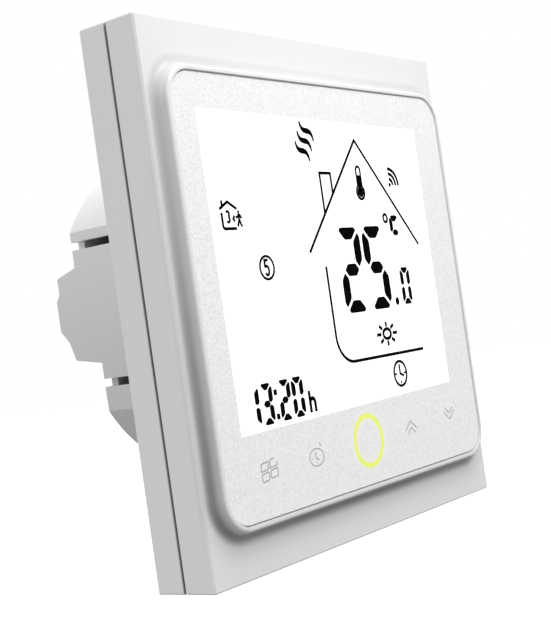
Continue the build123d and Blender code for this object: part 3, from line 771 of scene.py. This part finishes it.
finishes = {  # colour, spread of tone, spot size, roughness, its spread, bump in mm, bump size in mm, metal
    "milky light guide": ((0.88, 0.90, 0.90), 0.02, 5.0, 0.18, 0.05, 0.001, 0.5, 0.0),
    "white holder plastic": ((0.80, 0.80, 0.79), 0.02, 4.0, 0.48, 0.08, 0.003, 0.2, 0.0),
    "dark foam": ((0.030, 0.031, 0.033), 0.35, 0.5, 0.92, 0.05, 0.05, 0.25, 0.0),
    "grey elastomer": ((0.16, 0.16, 0.17), 0.10, 0.8, 0.62, 0.08, 0.004, 0.3, 0.0),
    "zinc plated steel": ((0.66, 0.68, 0.70), 0.05, 3.0, 0.36, 0.05, 0.001, 0.12, 1.0),
    "yellow brass": ((0.78, 0.56, 0.24), 0.10, 1.2, 0.26, 0.14, 0.002, 0.15, 1.0),
    "black chip resin": ((0.018, 0.018, 0.020), 0.22, 0.8, 0.55, 0.10, 0.003, 0.1, 0.0),
    "grey ferrite": ((0.055, 0.057, 0.062), 0.20, 0.7, 0.62, 0.12, 0.006, 0.15, 0.0),
    "relay case": ((0.74, 0.75, 0.74), 0.02, 3.0, 0.40, 0.06, 0.002, 0.2, 0.0),
    "blue varistor": ((0.05, 0.16, 0.42), 0.12, 1.5, 0.36, 0.12, 0.006, 0.5, 0.0),
    "tinned ends": ((0.72, 0.72, 0.71), 0.06, 0.8, 0.28, 0.06, 0.002, 0.2, 1.0),
    "number relief": ((0.16, 0.16, 0.16), 0.06, 2.0, 0.42, 0.04, 0.001, 0.2, 0.0),
    "sensor bead": ((0.03, 0.032, 0.034), 0.15, 0.5, 0.30, 0.1, 0.004, 0.3, 0.0),
    "white block plastic": ((0.86, 0.86, 0.85), 0.02, 3.0, 0.45, 0.08, 0.003, 0.2, 0.0),
}


shellPaintedShade = {
    "cove": (0.70, 0.22),  # how much painted shade darkens the hollow fillet below the bezel and above it
    "skirtShadow": 0.10,  # painted shadow on the flat face just outside it, strongest below the bezel
    # painted shade in the open seam between the shell and the base
    "seam": 0.60,
    "bezel": (0.95, 5.7),  # its outline past the lens, and the radius of its corners
}


def shellMaterial(node):
    # Front shell and base: white plastic, with painted shade in the hollow fillet round the bezel, heavier below
    # it, a painted shadow on the flat face under it, and painted shade in the open seam.
    sheet = Sheet(f"white shell of {node}")
    x, y, z = sheet.axes()
    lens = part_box("touch_lens")[1] / mm
    past, corner = shellPaintedShade["bezel"]
    halfX, halfZ = lens.x + past, lens.z + past
    overX = (abs(x) - (halfX - corner)).larger(0)
    overZ = (abs(z) - (halfZ - corner)).larger(0)
    outside = (overX * overX + overZ * overZ) ** 0.5 - corner
    height = (z / halfZ) / (((x / halfX) ** 2 + (z / halfZ) ** 2) ** 0.5).larger(0.01)
    below, above = shellPaintedShade["cove"]
    cove = outside.ramp(-0.35, 0.65) * outside.ramp(0.9, 2.6, 1.0, 0.0)
    share = height * ((above - below) / 2) + (above + below) / 2
    skirtShadow = outside.ramp(-0.5, 0.6) * outside.ramp(1.2, 6.0, shellPaintedShade["skirtShadow"], 0.0)
    lip = abs(x).larger(abs(z)).ramp(42.2, 42.45)  # only what shows between the two lips
    # painted shade on the faces of the open seam
    grooveShade = y.ramp(-5.40, -5.32) if node == "front_frame" else y.ramp(-4.93, -4.85, 1.0, 0.0)
    # painted shade in the fillet and painted shadow on the flat face below the bezel
    dark = (cove * share + skirtShadow * (0.5 - height * 0.5)) * (y < -10.0)
    dark = dark.larger(grooveShade * lip * shellPaintedShade["seam"])
    tone = sheet.noise(20.0).ramp(0.3, 0.7)
    white = sheet.blend(tone, (0.866, 0.866, 0.863), (0.870, 0.870, 0.868))
    sheet.set(
        Base_Color=sheet.blend(dark, white, (0.02, 0.02, 0.02)),
        Roughness=sheet.noise(6.0).ramp(0.25, 0.75, 0.32, 0.36),
        Normal=sheet.bump(sheet.noise(0.18, 2.0), 0.0004),
    )
    return sheet.material


boxShade = {
    "wall": 1.95,
    "back": 11.0,  # from the deepest point of the box to the end of the painted shade between the boards
}


def boxMaterial():
    # Wall box: white plastic outside, painted shade that darkens it towards the bottom, and near-black painted
    # shade between the boards where no light reaches.
    sheet = Sheet("white wall box")
    low, high = (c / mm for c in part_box("power_box"))
    x, y, z = sheet.axes()
    away = (x * x + z * z) ** 0.5
    wall = boxShade["wall"]
    # near-black painted shade between the boards, where no light reaches
    shadedInside = (abs(x) < high.x - wall) * (away < high.z - wall) * (y < high.y - boxShade["back"])
    tone = sheet.noise(14.0).ramp(0.3, 0.7)
    white = sheet.blend(tone, (0.852, 0.852, 0.850), (0.860, 0.860, 0.858))
    # painted shade, darker towards the bottom of the box
    white = sheet.blend(z.ramp(-24, 24, 1.0, 0.0), white, (0.66, 0.66, 0.658))
    sheet.set(
        Base_Color=sheet.blend(shadedInside, white, sheet.blend(tone, (0.02, 0.02, 0.02), (0.03, 0.03, 0.03))),
        Roughness=sheet.noise(5.0).ramp(0.25, 0.75, 0.38, 0.46),
        Normal=sheet.bump(sheet.noise(0.25, 2.0), 0.0012),
    )
    return sheet.material


def plainFinish(name, colour, spread, spot, rough, roughSpread, depth, grain, metal):
    # Tone, roughness and a fine relief from noise, each at its own size.
    sheet = Sheet(name)
    tone = sheet.noise(spot, 4.0).ramp(0.3, 0.7)
    fine = sheet.noise(grain, 2.0)
    sheet.set(
        Base_Color=sheet.blend(tone, shade(colour, 1 - spread), shade(colour, 1 + spread)),
        Roughness=sheet.noise(spot * 0.4, 3.0).ramp(0.25, 0.75, rough - roughSpread, rough + roughSpread),
        Metallic=metal,
        Normal=sheet.bump(fine, depth),
    )
    return sheet.material


def boardMaterial():
    # Solder mask over copper: rows of straight tracks, and small tinned holes on a grid.
    sheet = Sheet("green circuit board")
    turned = sheet.node("ShaderNodeMapping", {}, {"Vector": sheet.place, "Rotation": (math.pi / 2, 0, 0)})
    tracks = sheet.node(
        "ShaderNodeTexBrick",
        {"offset": 0.37, "squash": 1.6, "squash_frequency": 3},
        {"Vector": turned, "Scale": 1 / (1.9 * mm), "Mortar Size": 0.07, "Mortar Smooth": 0.1},
        "Fac",
    )
    area = sheet.noise(11, 0.0).ramp(0.47, 0.49)
    track = tracks * area
    near = sheet.cells(3.3, "Distance")
    tinned = near < 0.09
    mask = sheet.blend(track, (0.010, 0.085, 0.038), (0.022, 0.165, 0.070))
    sheet.set(
        Base_Color=sheet.blend(tinned, mask, (0.70, 0.70, 0.68)),
        Metallic=tinned * 1.0,
        Roughness=sheet.noise(2.0).ramp(0.3, 0.7, 0.26, 0.38),
        Normal=sheet.bump(track.larger(tinned * 2), 0.03),
        Coat_Weight=0.3,
        Coat_Roughness=0.15,
    )
    return sheet.material


def windingMaterial(node):
    # Yellow tape over the winding: one thin overlap line along it, and soft ridges of the turns.
    sheet = Sheet("yellow winding tape")
    low, high = (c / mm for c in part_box(node))
    x, y, z = sheet.axes()
    ridge = (z * (2 * math.pi / 0.55)).maths("SINE", z * (2 * math.pi / 0.55))
    overlap = abs(x - (low.x + 0.7 * (high.x - low.x))) < 0.12
    tone = sheet.noise(2.5).ramp(0.3, 0.7)
    sheet.set(
        Base_Color=sheet.blend(
            overlap, sheet.blend(tone, (0.72, 0.46, 0.04), (0.86, 0.58, 0.08)), (0.45, 0.27, 0.02)
        ),
        Roughness=tone * 0.12 + 0.26,
        Normal=sheet.bump(ridge, 0.02),
        Coat_Weight=0.4,
        Coat_Roughness=0.1,
    )
    return sheet.material


def sleeveMaterial(node, colour, stripe):
    # Shrunk sleeve of a capacitor: a stripe down one side and a bare metal top.
    sheet = Sheet(f"sleeve of {node}")
    low, high = (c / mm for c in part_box(node))
    x, y, z = sheet.axes()
    midX, midZ, radius = (low.x + high.x) / 2, (low.z + high.z) / 2, (high.x - low.x) / 2
    away = ((x - midX) ** 2 + (z - midZ) ** 2) ** 0.5
    top = (y > high.y - 0.12) * (away < radius - 0.9)
    band = (abs(z - midZ) < radius * 0.32) * (x > midX)
    score = (abs(x - midX).maths("MINIMUM", abs(x - midX), abs(z - midZ)) < 0.14) * top
    tone = sheet.noise(1.5).ramp(0.3, 0.7)
    side = sheet.blend(band * (1 - top), sheet.blend(tone, colour, shade(colour, 1.35)), stripe)
    sheet.set(
        Base_Color=sheet.blend(top, side, (0.66, 0.67, 0.68)),
        Metallic=top * 1.0,
        Roughness=tone * 0.1 + 0.28,
        Normal=sheet.bump(1 - score, 0.08),
    )
    return sheet.material


made = {name: plainFinish(name, *values) for name, values in finishes.items()}
board = boardMaterial()
finishOf = {
    "touch_lens": lensMaterial(),
    "display_glass": displayMaterial(),
    "front_frame": shellMaterial("front_frame"),
    "base_plate": shellMaterial("base_plate"),
    "power_box": boxMaterial(),
    "display_light": made["milky light guide"],
    "ring_light": made["milky light guide"],
    "display_holder": made["white holder plastic"],
    "display_strip": made["grey elastomer"],
    "lens_tape": made["dark foam"],
    "control_board": board,
    "power_board": board,
    "radio_board": board,
    "processor": made["black chip resin"],
    "rectifier": made["black chip resin"],
    "plug_strip": made["black chip resin"],
    "plug_socket": made["black chip resin"],
    "fuse": made["black chip resin"],
    "room_sensor": made["sensor bead"],
    "transformer_core": made["grey ferrite"],
    "transformer_coil": windingMaterial("transformer_coil"),
    "mains_capacitor": sleeveMaterial("mains_capacitor", (0.02, 0.02, 0.024), (0.5, 0.5, 0.48)),
    "output_capacitor": sleeveMaterial("output_capacitor", (0.03, 0.05, 0.14), (0.6, 0.6, 0.58)),
    "relays": made["relay case"],
    "varistor": made["blue varistor"],
    "terminal_block": made["white block plastic"],
    "plug_pins": made["yellow brass"],
    "terminal_frames": made["yellow brass"],
    "ring_leds": made["milky light guide"],
}
for name, node in nodes.items():
    if name.startswith("key_pad"):
        material = made["dark foam"]
    elif name.startswith("clamp_plate"):
        material = made["yellow brass"]
    else:
        material = finishOf.get(name, made["zinc plated steel"])
    for place in node.material_slots:
        place.material = material

controlParts(**chipParts)
makeNumbers(**poleNumbers)
